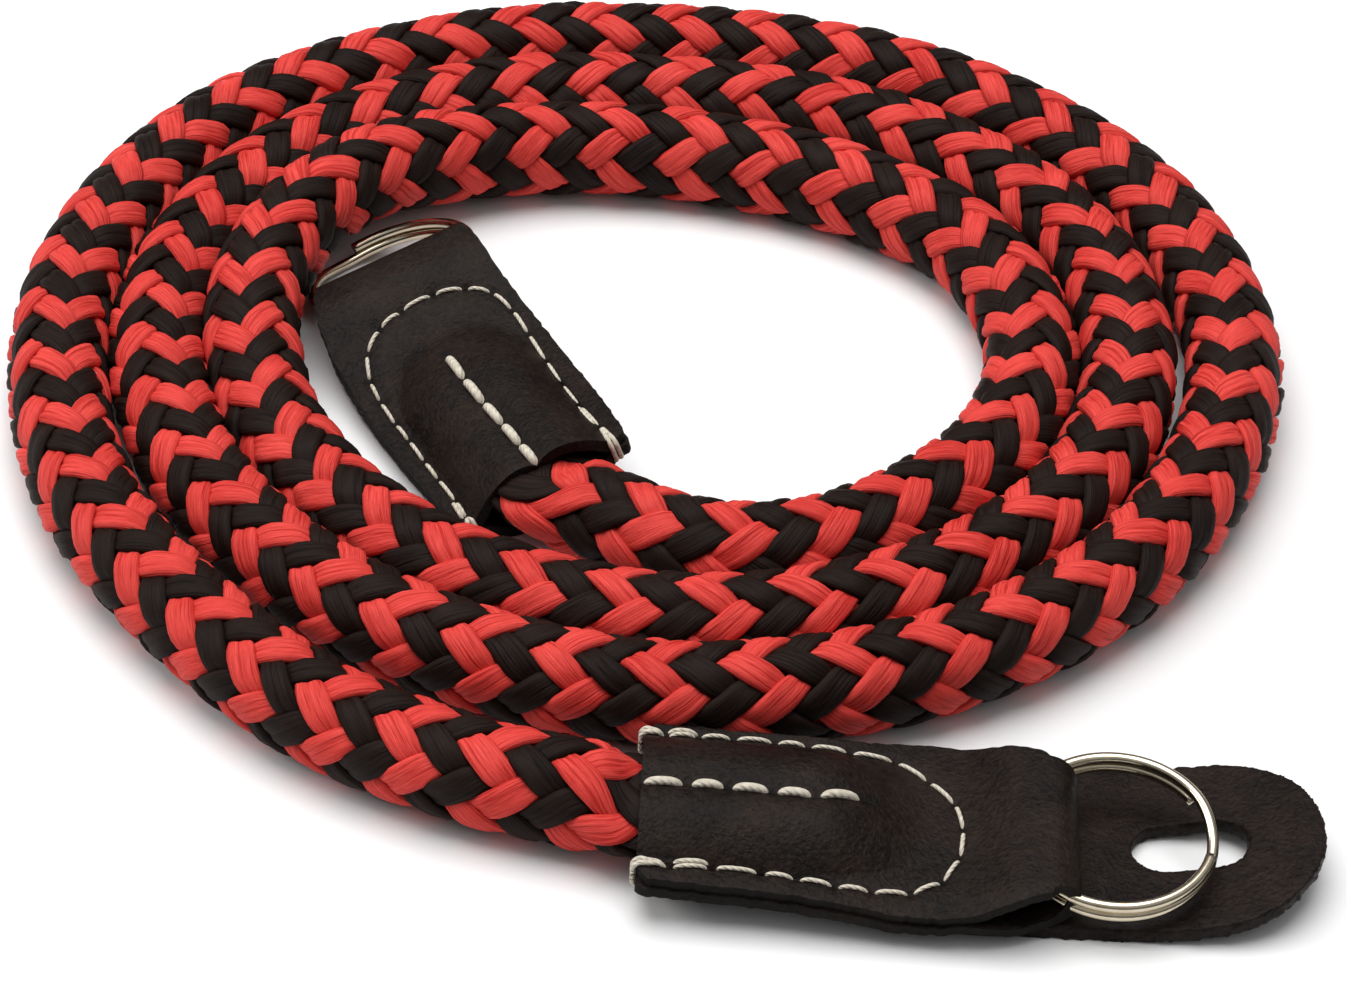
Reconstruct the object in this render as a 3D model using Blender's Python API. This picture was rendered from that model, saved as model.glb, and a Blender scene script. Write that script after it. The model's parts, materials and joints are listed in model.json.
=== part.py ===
"""Camera neck strap: a round braided rope lying in a flat coil, with a folded leather end and a
split ring at each end of it, and a slotted leather flap under the outer ring. Sizes are in
millimetres and are turned into metres where a shape is made."""

import math

import bmesh
import bpy
import numpy as np

MM = 0.001
CLEARANCE = 0.3

# Rope
ROPE_DIAMETER = 9.4
ROPE_RADIUS = ROPE_DIAMETER / 2
SEWN_HALF_WIDTH = 6.0
SEWN_HALF_HEIGHT = 2.95
SEWN_DEPTH = 18.5

# Leather ends
LEATHER = 1.2
END_LENGTH = 39.2
END_HALF_WIDTH = 10.1
FOLD_HALF_WIDTH = 7.3
HUMP_HALF_WIDTH = 7.7
HUMP_RUN = 8.0
MOUTH_CORNER = 1.5
MOUTH_FLARE = 0.45
NOSE_RUN = 8.2
FOLD_LENGTH = 11.0
FOLD_RISE = 2.2
FOLD_START = END_LENGTH - FOLD_LENGTH
FOLD_OPEN = FOLD_START + FOLD_RISE

# Split rings
WIRE = 1.06
RING_OUTER = 9.25
COIL_STEP = 1.12
COIL_CROSSING = 0.14
RING_TURNS = 2 - COIL_CROSSING
RING_RADIUS = RING_OUTER - WIRE / 2
RING_HEIGHT = WIRE + COIL_STEP

# The fold is a loop that the ring lies in
FOLD_ROOM = RING_HEIGHT / 2 + CLEARANCE
FOLD_HALF_HEIGHT = FOLD_ROOM + LEATHER

# Flap under the outer ring
FLAP_THICK = 1.5
FLAP_HALF_WIDTH = 10.7
FLAP_BACK = 24.5
FLAP_TIP = 12.3
FLAP_CORNER = 4.0
FLAP_PAST_FOLD = 10.5
FLAP_ASIDE = 1.8
SLOT_HALF_LENGTH = 5.4
SLOT_HALF_WIDTH = 2.95

# Places on the surface, from the middle of the coil, and directions in degrees
FRONT_MOUTH = (-0.2, -71.4)
FRONT_TURN = 0.0
INNER_MOUTH = (-11.4, -26.1)
INNER_TURN = 115.2
FLAP_CENTRE = (FRONT_MOUTH[0] + END_LENGTH + FLAP_PAST_FOLD, FRONT_MOUTH[1] + FLAP_ASIDE)
FLAP_TURN = 4.0
ORIGIN = (12.36, -31.33)

# The coil from above, clockwise from the front: angle in degrees, radius of each turn
COIL = (
    # angle, outer, middle, inner
    (0, 71.9, 56.3, 46.5),
    (30, 67.7, 54.6, 44.8),
    (60, 63.9, 53.0, 43.3),
    (90, 61.3, 51.7, 42.0),
    (120, 59.2, 49.5, 39.8),
    (150, 55.5, 45.6, 35.9),
    (180, 53.3, 42.65, 32.3),
    (210, 55.0, 43.95, 32.5),
    (240, 56.95, 46.15, 35.45),
    (270, 57.3, 46.55, 36.7),
    (300, 56.5, 46.6, 36.75),
    (330, 56.4, 46.6, 36.75),
)
COIL_START = (15.0, 69.9)
# The innermost turn rides over the inner ring: angle, spread in degrees, rise, push outwards
RIDE_OVER = (108.0, 27.0, 2.8, 0.5)
# Rope between the coil and the inner leather end: x, y
INNER_ROUTE = ((10.0, -34.9), (4.5, -34.6), (-0.8, -32.9))
# Where the rope is still round before it enters a leather end, in that end's frame
FRONT_LEAD = {"along": -5.0, "across": 0.6, "turned_degrees": -8.0}
INNER_LEAD = {"along": -5.0, "across": -2.4, "turned_degrees": 33.0}
STRAIGHT_LEAD = 2.0

# Leather ends along their length
FRONT_HEIGHTS = (
    # share of the length from the mouth, middle of the two layers, middle of the rope, sideways slope
    (0.0, 4.4, 4.55, 0.0),
    (0.43, 3.7, 4.55, 0.0),
    (0.61, 3.1, 3.3, 0.01),
    (0.73, 4.2, 4.2, 0.02),
    (0.79, 4.8, 4.8, 0.03),
    (1.0, 5.0, 5.0, 0.03),
)
INNER_HEIGHTS = (
    (0.0, 4.6, 4.7, -0.08),
    (0.31, 5.4, 5.2, -0.12),
    (0.61, 6.9, 6.5, -0.2),
    (0.753, 7.6, 7.6, -0.26),
    (1.0, 4.7, 4.7, -0.26),
)
# Ring poses in their leather end's frame, with the middle measured from the fold's edge
FRONT_RING = {
    "past_fold": 3.2,
    "across": -0.4,
    "height": 5.05,
    "pitch_degrees": 1.4,
    "roll_degrees": 1.7,
    "start_degrees": 34.0,
}
INNER_RING = {
    "past_fold": 0.5,
    "across": 0.0,
    "height": 4.5,
    "pitch_degrees": -16.7,
    "roll_degrees": -14.6,
    "start_degrees": 85.0,
}

for obj in list(bpy.data.objects):
    bpy.data.objects.remove(obj, do_unlink=True)


def material(name, colour, roughness, metallic=0.0):
    made = bpy.data.materials.new(name)
    made.use_nodes = True
    shader = made.node_tree.nodes["Principled BSDF"]
    shader.inputs["Base Color"].default_value = (*colour, 1.0)
    shader.inputs["Roughness"].default_value = roughness
    shader.inputs["Metallic"].default_value = metallic
    return made


rope_material = material("braided polypropylene", (0.42, 0.035, 0.03), 0.75)
leather_material = material("dark brown leather", (0.025, 0.017, 0.015), 0.6)
steel_material = material("nickel plated steel", (0.78, 0.74, 0.66), 0.22, 1.0)


def place(name, data, look, parent):
    obj = bpy.data.objects.new(name, data)
    bpy.context.scene.collection.objects.link(obj)
    if look:
        data.materials.append(look)
    obj.parent = parent
    return obj


def stand(name, spot, turn):
    """An empty on the surface that the pieces of one end hang from."""
    empty = place(name, None, None, None)
    empty.location = ((spot[0] - ORIGIN[0]) * MM, (spot[1] - ORIGIN[1]) * MM, 0.0)
    empty.rotation_euler.z = math.radians(turn)
    return empty


def loft(name, sections, look, parent=None):
    """A closed skin over sections, each a ring of points, all of the same count."""
    mesh = bpy.data.meshes.new(name)
    skin = bmesh.new()
    before = None
    for section in sections:
        ring = [skin.verts.new([float(v) * MM for v in point]) for point in section]
        if before is None:
            skin.faces.new(ring)
        else:
            for i, corner in enumerate(ring):
                skin.faces.new((before[i - 1], before[i], corner, ring[i - 1]))
        before = ring
    skin.faces.new(before)
    bmesh.ops.recalc_face_normals(skin, faces=skin.faces)
    skin.to_mesh(mesh)
    skin.free()
    return place(name, mesh, look, parent)


def tube(name, points, diameter, resolution, look, parent=None):
    """A round tube with closed ends through the points."""
    curve = bpy.data.curves.new(name, "CURVE")
    curve.dimensions = "3D"
    curve.bevel_depth = diameter / 2 * MM
    curve.bevel_resolution = resolution
    curve.use_fill_caps = True
    spline = curve.splines.new("POLY")
    spline.points.add(len(points) - 1)
    for knot, point in zip(spline.points, points):
        knot.co = (point[0] * MM, point[1] * MM, point[2] * MM, 1.0)
    return place(name, curve, look, parent)


def cut(body, cutter):
    cutter.hide_render = True
    cutter.display_type = "WIRE"
    modifier = body.modifiers.new("cut " + cutter.name, "BOOLEAN")
    modifier.operation = "DIFFERENCE"
    modifier.solver = "EXACT"
    modifier.object = cutter


def ease(share):
    share = min(max(share, 0.0), 1.0)
    return share * share * (3 - 2 * share)


def read(heights, along, column):
    """A column of a leather end's table, at a distance from its mouth."""
    return float(np.interp(along / END_LENGTH, [row[0] for row in heights], [row[column] for row in heights]))


def ellipse(centre, wide, high, sides=16):
    """A ring of points across X, in an upright plane."""
    turns = [2 * math.pi * i / sides for i in range(sides)]
    x, y, z = centre
    return [(x, y + wide * math.cos(a), z + high * math.sin(a)) for a in turns]


def in_end(mouth, turn, along, across):
    a = math.radians(turn)
    return (
        mouth[0] + along * math.cos(a) - across * math.sin(a),
        mouth[1] + along * math.sin(a) + across * math.cos(a),
    )


# Rope: a smooth curve through the coil's points


def smooth(knots, steps):
    """Points of a centripetal Catmull-Rom curve, steps[k] of them from knot k to the next."""
    knots = [np.array(k, float) for k in knots]
    knots = [2 * knots[0] - knots[1]] + knots + [2 * knots[-1] - knots[-2]]
    found = []
    for k, count in enumerate(steps):
        p = knots[k : k + 4]
        t = [0.0]
        for a, b in zip(p, p[1:]):
            t.append(t[-1] + np.linalg.norm(b - a) ** 0.5)
        for i in range(count):
            x = t[1] + (t[2] - t[1]) * i / count
            layer = p
            for reach in (1, 2, 3):
                spans = [(t[j], t[j + reach]) for j in range(4 - reach)] if reach < 3 else [(t[1], t[2])]
                layer = [blend(layer[j], layer[j + 1], *span, x) for j, span in enumerate(spans)]
            found.append(layer[0])
    found.append(knots[-2])
    return found


def blend(a, b, low, high, x):
    return a * (high - x) / (high - low) + b * (x - low) / (high - low)


def coil_point(angle, radius, ride):
    spot, spread, rise, push = RIDE_OVER
    bump = math.exp(-(((angle - spot) / spread) ** 2)) if ride else 0.0
    radius += push * bump
    a = math.radians(angle)
    return -radius * math.sin(a), -radius * math.cos(a), ROPE_RADIUS + rise * bump


def lead_points(mouth, turn, lead):
    """The rope's last two points before a leather end, in line with its lead."""
    a = math.radians(lead["turned_degrees"])
    found = []
    for back in (CLEARANCE, CLEARANCE + STRAIGHT_LEAD):
        along = lead["along"] - back * math.cos(a)
        across = lead["across"] - back * math.sin(a)
        found.append((*in_end(mouth, turn, along, across), ROPE_RADIUS))
    return found


knots = lead_points(FRONT_MOUTH, FRONT_TURN, FRONT_LEAD)
for turn in range(3):
    for row in COIL:
        if turn == 0 and row[0] == 0:
            knots.append(coil_point(*COIL_START, False))
        else:
            knots.append(coil_point(row[0], row[1 + turn], turn == 2))
steps = [1] + [2] * (len(knots) - 2)
knots += [(x, y, ROPE_RADIUS) for x, y in INNER_ROUTE]
knots += reversed(lead_points(INNER_MOUTH, INNER_TURN, INNER_LEAD))
steps += [1] * (len(knots) - 1 - len(steps))
rope_points = [(x - ORIGIN[0], y - ORIGIN[1], max(z, ROPE_RADIUS)) for x, y, z in smooth(knots, steps)]
tube("rope", rope_points, ROPE_DIAMETER, 4, rope_material)


# Sewn-in rope ends: round where they leave the leather, flattened inside it


def rope_end(name, heights, lead, parent):
    sections = []
    outside = [lead["along"] * share for share in (1.0, 0.7, 0.35)]
    for along in outside + [SEWN_DEPTH * share for share in (0.03, 0.33, 0.66, 1.0)]:
        out = max(along / lead["along"], 0.0)
        share = 1 - ease(out * 1.3 - 0.3)
        wide = ROPE_RADIUS + (SEWN_HALF_WIDTH - ROPE_RADIUS) * share
        high = ROPE_RADIUS + (SEWN_HALF_HEIGHT - ROPE_RADIUS) * share
        middle = ROPE_RADIUS + (read(heights, along, 2) - ROPE_RADIUS) * share
        a = math.radians(lead["turned_degrees"] * out)
        ring = ellipse((0.0, 0.0, middle), wide, high, 12)
        across = lead["across"] * out ** 1.4
        sections.append([(along - y * math.sin(a), across + y * math.cos(a), z) for x, y, z in ring])
    return loft(name, sections, rope_material, parent)


# Leather ends: one strip folded round the ring and stitched round the rope


def half_height(along):
    """Half the height of the folded strip: two layers, then the loop, then its round end."""
    opened = LEATHER + (FOLD_HALF_HEIGHT - LEATHER) * ease((along - FOLD_START) / (FOLD_OPEN - FOLD_START))
    over = (along - (END_LENGTH - FOLD_HALF_HEIGHT)) / FOLD_HALF_HEIGHT
    return opened * math.sqrt(max(1 - over * over, 0.0)) if over > 0 else opened


def stand_off(along):
    """How far the leather reaches from the middle of the rope that is sewn in."""
    full = SEWN_HALF_HEIGHT + CLEARANCE + LEATHER
    return LEATHER + (full - LEATHER) * (1 - ease((along - SEWN_DEPTH) / HUMP_RUN + 0.3))


def half_width(along):
    corner = MOUTH_CORNER * max(0.0, 1 - along / MOUTH_CORNER) ** 2
    fold = max(0.0, (along - END_LENGTH + NOSE_RUN) / NOSE_RUN) ** 2.2
    return END_HALF_WIDTH - corner - (END_HALF_WIDTH - FOLD_HALF_WIDTH) * fold


SEAM_SHARES = (0.0, 0.02, 0.055, 0.18, 0.36, 0.57, 0.66, 0.75, 0.85, 0.95)
FOLD_SHARES = (0.0, 0.07, 0.14, 0.2, 0.34, 0.53, 0.67, 0.76, 0.84, 0.91, 0.96, 0.99)
ACROSS = [math.sin(math.pi / 2 * k / 8) for k in range(-8, 9)]


def leather_end(name, heights, parent):
    sections = []
    stations = [FOLD_START * share for share in SEAM_SHARES]
    stations += [FOLD_START + FOLD_LENGTH * share for share in FOLD_SHARES]
    for along in stations:
        middle, core, slope = (read(heights, along, column) for column in (1, 2, 3))
        half, reach = half_height(along), stand_off(along)
        top, bottom = [], []
        for share in ACROSS:
            across = share * half_width(along)
            arch = reach * math.sqrt(max(1 - (across / HUMP_HALF_WIDTH) ** 2, 0.0))
            upper, lower = middle + half, middle - half
            if arch > 0:
                upper, lower = max(upper, core + arch), min(lower, core - arch)
            top.append((along, across, upper + slope * across))
            bottom.append((along, across, lower + slope * across))
        sections.append(top + bottom[::-1])
    body = loft(name, sections, leather_material, parent)

    sleeve = []
    wide, high = SEWN_HALF_WIDTH + CLEARANCE, SEWN_HALF_HEIGHT + CLEARANCE
    depth = SEWN_DEPTH + CLEARANCE
    for along in (-MOUTH_CORNER, 0.0, MOUTH_CORNER, 0.33 * depth, 0.66 * depth, depth):
        flare = MOUTH_FLARE * max(0.0, 1 - along / MOUTH_CORNER)
        middle = read(heights, along, 2)
        sleeve.append(ellipse((along, 0.0, middle), wide + flare, high + flare))
    cut(body, loft(name + "_sleeve", sleeve, None, parent))

    pocket = []
    nose = END_LENGTH - LEATHER
    back = FOLD_START + FOLD_RISE / 2
    round_part = [nose - FOLD_ROOM + FOLD_ROOM * share for share in (0.0, 0.4, 0.7, 0.9, 1.0)]
    for wide in (-1.4, -0.9, -0.6, -0.3, 0.0, 0.3, 0.6, 0.9, 1.4):
        across = END_HALF_WIDTH * wide
        upper, lower = [], []
        for along in [back, (back + FOLD_OPEN) / 2, FOLD_OPEN, (FOLD_OPEN + round_part[0]) / 2] + round_part:
            over = (along - round_part[0]) / FOLD_ROOM
            room = half_height(along) - LEATHER
            if over > 0:
                room = FOLD_ROOM * math.sqrt(max(1 - over * over, 0.0))
            room = max(room, CLEARANCE / 3)
            middle = read(heights, along, 1) + read(heights, along, 3) * across
            upper.append((along, across, middle + room))
            lower.append((along, across, middle - room))
        pocket.append(upper + lower[::-1])
    cut(body, loft(name + "_pocket", pocket, None, parent))
    return body


# Split rings: two flat turns of round wire, with one crossing from the lower to the upper


def ring_frame(pose, parent, name):
    empty = place(name + "_middle", None, None, parent)
    empty.location = ((END_LENGTH + pose["past_fold"]) * MM, pose["across"] * MM, pose["height"] * MM)
    empty.rotation_euler = (math.radians(pose["roll_degrees"]), -math.radians(pose["pitch_degrees"]), 0.0)
    return empty


def split_ring(name, pose, parent):
    middle = ring_frame(pose, parent, name)
    points = []
    count = 60
    for k in range(count + 1):
        turns = RING_TURNS * k / count
        a = 2 * math.pi * turns + math.radians(pose["start_degrees"])
        lift = COIL_STEP * (ease((turns - 1) / COIL_CROSSING + 1) - 0.5)
        points.append((RING_RADIUS * math.cos(a), RING_RADIUS * math.sin(a), lift))
    return tube(name, points, WIRE, 2, steel_material, middle)


def ring_room(name, pose, parent):
    """The space that a ring takes with its clearance, as a turned band."""
    middle = ring_frame(pose, parent, name)
    wide, high = WIRE / 2 + CLEARANCE, RING_HEIGHT / 2 + CLEARANCE
    mesh = bpy.data.meshes.new(name)
    band = bmesh.new()
    corners = ((-wide, -high), (wide, -high), (wide, high), (-wide, high))
    verts = [band.verts.new(((RING_RADIUS + x) * MM, 0.0, z * MM)) for x, z in corners]
    edges = [band.edges.new((verts[i - 1], verts[i])) for i in range(4)]
    bmesh.ops.spin(band, geom=verts + edges, axis=(0, 0, 1), cent=(0, 0, 0), angle=2 * math.pi, steps=48,
                   use_merge=True)
    bmesh.ops.recalc_face_normals(band, faces=band.faces)
    band.to_mesh(mesh)
    band.free()
    return place(name, mesh, None, middle)


ends = (
    ("front", FRONT_MOUTH, FRONT_TURN, FRONT_HEIGHTS, FRONT_LEAD, FRONT_RING),
    ("inner", INNER_MOUTH, INNER_TURN, INNER_HEIGHTS, INNER_LEAD, INNER_RING),
)
for name, mouth, turn, heights, lead, pose in ends:
    base = stand(name + "_end", mouth, turn)
    rope_end("rope_end_" + name, heights, lead, base)
    leather = leather_end("leather_end_" + name, heights, base)
    cut(leather, ring_room("ring_room_" + name, pose, base))
    split_ring("ring_" + name, pose, base)


# Flap: a leather tongue with a slot, under the outer ring


def arc(x, y, radius, begin, end, steps):
    turns = [math.radians(begin + (end - begin) * k / steps) for k in range(steps + 1)]
    return [(x + radius * math.cos(a), y + radius * math.sin(a)) for a in turns]


def outline(curve, points):
    spline = curve.splines.new("POLY")
    spline.points.add(len(points) - 1)
    for knot, (x, y) in zip(spline.points, points):
        knot.co = (x * MM, y * MM, 0.0, 1.0)
    spline.use_cyclic_u = True


flap_curve = bpy.data.curves.new("flap_front", "CURVE")
flap_curve.dimensions = "2D"
flap_curve.fill_mode = "BOTH"
flap_curve.extrude = FLAP_THICK / 2 * MM
outline(
    flap_curve,
    arc(FLAP_TIP - FLAP_HALF_WIDTH, 0.0, FLAP_HALF_WIDTH, -90, 90, 24)
    + arc(FLAP_CORNER - FLAP_BACK, FLAP_HALF_WIDTH - FLAP_CORNER, FLAP_CORNER, 90, 180, 4)
    + arc(FLAP_CORNER - FLAP_BACK, FLAP_CORNER - FLAP_HALF_WIDTH, FLAP_CORNER, 180, 270, 4),
)
straight = SLOT_HALF_LENGTH - SLOT_HALF_WIDTH
outline(
    flap_curve,
    arc(straight, 0.0, SLOT_HALF_WIDTH, -90, 90, 8) + arc(-straight, 0.0, SLOT_HALF_WIDTH, 90, 270, 8),
)
flap_base = stand("flap_base", FLAP_CENTRE, FLAP_TURN)
flap = place("flap_front", flap_curve, leather_material, flap_base)
flap.location.z = FLAP_THICK / 2 * MM
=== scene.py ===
"""Camera neck strap: a red and black plaited rope lying in a flat coil, with a stitched leather
end and a split ring at each end of it, and a slotted leather flap under the outer ring. Sizes
are in millimetres, and MM turns them into metres where a mesh is made."""

import json
import math

import bpy
import numpy as np
from mathutils import Matrix

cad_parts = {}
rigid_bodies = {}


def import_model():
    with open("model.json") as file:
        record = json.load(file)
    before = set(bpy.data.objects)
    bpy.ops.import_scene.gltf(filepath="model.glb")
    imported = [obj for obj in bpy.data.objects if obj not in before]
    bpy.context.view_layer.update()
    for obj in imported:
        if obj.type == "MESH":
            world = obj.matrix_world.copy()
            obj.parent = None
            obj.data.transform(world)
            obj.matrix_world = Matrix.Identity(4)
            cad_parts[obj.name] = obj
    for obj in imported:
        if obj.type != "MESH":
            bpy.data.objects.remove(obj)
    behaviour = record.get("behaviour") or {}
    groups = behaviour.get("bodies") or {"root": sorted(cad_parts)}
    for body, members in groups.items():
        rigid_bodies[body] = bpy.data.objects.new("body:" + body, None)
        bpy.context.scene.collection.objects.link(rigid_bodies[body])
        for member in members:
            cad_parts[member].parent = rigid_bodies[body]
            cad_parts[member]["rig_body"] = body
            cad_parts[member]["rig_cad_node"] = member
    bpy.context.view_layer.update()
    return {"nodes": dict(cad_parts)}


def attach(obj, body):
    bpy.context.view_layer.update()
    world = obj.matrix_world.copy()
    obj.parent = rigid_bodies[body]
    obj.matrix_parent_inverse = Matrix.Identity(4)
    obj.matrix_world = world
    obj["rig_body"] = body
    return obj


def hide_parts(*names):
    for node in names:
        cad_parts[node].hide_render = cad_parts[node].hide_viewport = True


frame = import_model()
MM = 0.001

# Camera
# A long lens looks down on the coil from the front, a little turned about its own line of sight.
# It aims at a point on the floor inside the coil.

AIM = np.array([-11.21, 10.77, 0.0])
DISTANCE = 433.2
ELEVATION = math.radians(38.22)
ROLL = 0.0595

bpy.ops.object.select_all(action="DESELECT")
ahead = np.array([0.0, math.cos(ELEVATION), -math.sin(ELEVATION)])
level = np.array([1.0, 0.0, 0.0])
upright = np.cross(level, ahead)
right = math.cos(ROLL) * level + math.sin(ROLL) * upright
above = math.cos(ROLL) * upright - math.sin(ROLL) * level
bpy.ops.object.camera_add()
camera = bpy.context.object
camera.data.lens = 117.07
camera.data.sensor_width = 36.0
camera.data.clip_start = 0.01
spot = (AIM - ahead * DISTANCE) * MM
camera.matrix_world = Matrix([[right[k], above[k], -ahead[k], spot[k]] for k in range(3)] + [[0, 0, 0, 1]])
bpy.context.scene.camera = camera

# Rope
# A round rope, plaited over two and under two from sixteen flat strands of polypropylene yarn
# around a dark core. Red and black strands alternate each way, and both ends are flattened
# where they are sewn into the leather.

ORIGIN = np.array([12.36, -31.33, 0.0])
ROPE_RADIUS = 5.03
ROPE_HEIGHT = 5.1
SEWN_DEPTH = 18.5
SEWN_HALF_WIDTH = 6.15
SEWN_HALF_HEIGHT = 3.05
CROSSING = 2.225
CARRIERS = 16
STRAND_HALF_WIDTH = 1.46
STRAND_HALF_THICKNESS = 0.64
STRAND_SWING = 0.6
STRAND_MIDDLE = ROPE_RADIUS - STRAND_SWING - STRAND_HALF_THICKNESS
STRAND_TUCK = 0.07
PITCH_SHARE = 0.94
WIDTH_VARIES = 0.04
THICKNESS_VARIES = 0.06
TILT_VARIES = 0.07
RINGS_PER_CROSSING = 3.5
PATH_STEP = 0.5
CORE_RADIUS = 3.0
CORE_STEP = 1.5
# Across and up, as shares of a strand's half width and half thickness: two bundles side by side
STRAND_SECTION = (
    (-1.0, 0.0), (-0.97, 0.5), (-0.78, 0.92), (-0.4, 1.0), (0.0, 0.8), (0.4, 1.0),
    (0.78, 0.92), (0.97, 0.5), (1.0, 0.0), (0.6, -0.8), (0.0, -1.0), (-0.6, -0.8),
)
# The coil from above, clockwise from the front: angle in degrees, radius of each turn
COIL = (
    (0, 71.9, 56.3, 46.5),
    (30, 67.7, 54.6, 44.8),
    (60, 63.9, 53.0, 43.3),
    (90, 61.3, 51.7, 42.0),
    (120, 59.2, 49.5, 39.8),
    (150, 55.5, 45.6, 35.9),
    (180, 53.3, 42.65, 32.3),
    (210, 55.0, 43.95, 32.5),
    (240, 56.95, 46.15, 35.45),
    (270, 57.3, 46.55, 36.7),
    (300, 56.5, 46.6, 36.75),
    (330, 56.4, 46.6, 36.75),
)
COIL_START = (15.0, 69.9)
# The innermost turn rides over the inner ring: angle, spread in degrees, rise, push outwards
RIDE_OVER = (108.0, 27.0, 2.8, 0.5)
INNER_ROUTE = ((10.0, -35.0), (4.5, -35.0), (-0.8, -33.4))
FRONT_MOUTH = (-0.2, -71.4)
FRONT_TURN = 0.0
INNER_MOUTH = (-11.1, -27.05)
INNER_TURN = 118.0
# Rope in a leather end: distance from the mouth, sideways, height of its middle
FRONT_SEWN = ((18.5, 0.0, 4.55), (12.0, 0.0, 4.55), (6.0, 0.0, 4.55), (0.5, 0.0, 4.6))
FRONT_SEWN += ((-1.75, 0.14, 4.66), (-3.5, 0.36, 4.93), (-5.0, 0.6, 5.1))
INNER_SEWN = ((18.5, 0.0, 4.5), (12.0, 0.0, 4.75), (6.0, 0.0, 4.95), (0.5, 0.0, 5.1))
INNER_SEWN += ((-1.75, -0.55, 5.1), (-3.5, -1.46, 5.1), (-5.0, -2.4, 5.1))
# The rope is flat up to here beyond the mouth, and round from ROUND_FROM on
FLAT_TO = 1.15
ROUND_FROM = 5.0
# How the plait lies along the rope: distance, turn in carriers, slip in crossings
PLAIT = (
    (24, 2.8, 1.0), (36, 2.8, 0.8), (48, 3.2, 0.2), (60, 3.4, -0.2), (72, 3.75, -0.6), (96, 3.8, -1.3),
    (120, 3.65, -1.5), (144, 3.7, -1.5), (162, 3.9, -1.5), (180, 4.2, -1.8), (198, 3.9, -1.65),
    (222, 4.3, -1.6), (246, 4.75, -1.8), (270, 5.2, -2.15), (294, 5.55, -2.2), (330, 5.8, -2.25),
    (366, 5.9, -2.5), (384, 6.5, -2.65), (396, 6.8, -2.95), (408, 7.4, -3.4), (420, 7.85, -3.8),
    (432, 8.05, -4.7), (444, 7.65, -5.5), (456, 7.3, -5.8), (468, 6.8, -6.15), (510, 6.8, -6.35),
    (534, 6.45, -6.6), (558, 6.6, -6.95), (582, 6.55, -7.2), (606, 6.4, -7.6), (624, 6.15, -7.95),
    (642, 5.8, -8.0), (672, 5.75, -8.2), (696, 5.65, -8.4), (714, 6.1, -8.9), (726, 5.85, -9.5),
    (738, 5.4, -10.4), (750, 4.9, -11.1), (768, 4.65, -11.1), (786, 4.8, -11.0), (802, 5.1, -10.85),
    (822, 4.8, -10.85), (846, 4.8, -11.2), (870, 4.8, -11.6), (900, 4.8, -11.8), (915, 4.9, -12.05),
    (926, 5.4, -12.6), (938, 5.4, -13.1),
)


def ease(share):
    share = np.clip(share, 0.0, 1.0)
    return share * share * (3 - 2 * share)


def in_end(mouth, turn, points):
    """Points of a leather end's frame, placed beside the coil."""
    a = math.radians(turn)
    along, across, height = np.moveaxis(np.asarray(points, float), -1, 0)
    x = mouth[0] + along * math.cos(a) - across * math.sin(a)
    y = mouth[1] + along * math.sin(a) + across * math.cos(a)
    return np.stack([x, y, height], axis=-1) - ORIGIN


def coil_point(angle, radius, ride):
    spot, spread, rise, push = RIDE_OVER
    bump = math.exp(-(((angle - spot) / spread) ** 2)) if ride else 0.0
    a = math.radians(angle)
    radius += push * bump
    return np.array([-radius * math.sin(a), -radius * math.cos(a), ROPE_HEIGHT + rise * bump]) - ORIGIN


def smooth(knots, steps=10):
    """Points of a centripetal Catmull-Rom curve through the knots."""
    knots = [2 * knots[0] - knots[1], *knots, 2 * knots[-1] - knots[-2]]
    found = []
    for k in range(len(knots) - 3):
        a, b, c, d = knots[k : k + 4]
        t1 = np.linalg.norm(b - a) ** 0.5
        t2 = t1 + np.linalg.norm(c - b) ** 0.5
        t3 = t2 + np.linalg.norm(d - c) ** 0.5
        for t in np.linspace(t1, t2, steps, endpoint=False):
            ab = a + (b - a) * t / t1
            bc = b + (c - b) * (t - t1) / (t2 - t1)
            cd = c + (d - c) * (t - t2) / (t3 - t2)
            abc = ab + (bc - ab) * t / t2
            bcd = bc + (cd - bc) * (t - t1) / (t3 - t1)
            found.append(abc + (bcd - abc) * (t - t1) / (t2 - t1))
    return np.array(found + [knots[-2]])


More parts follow.
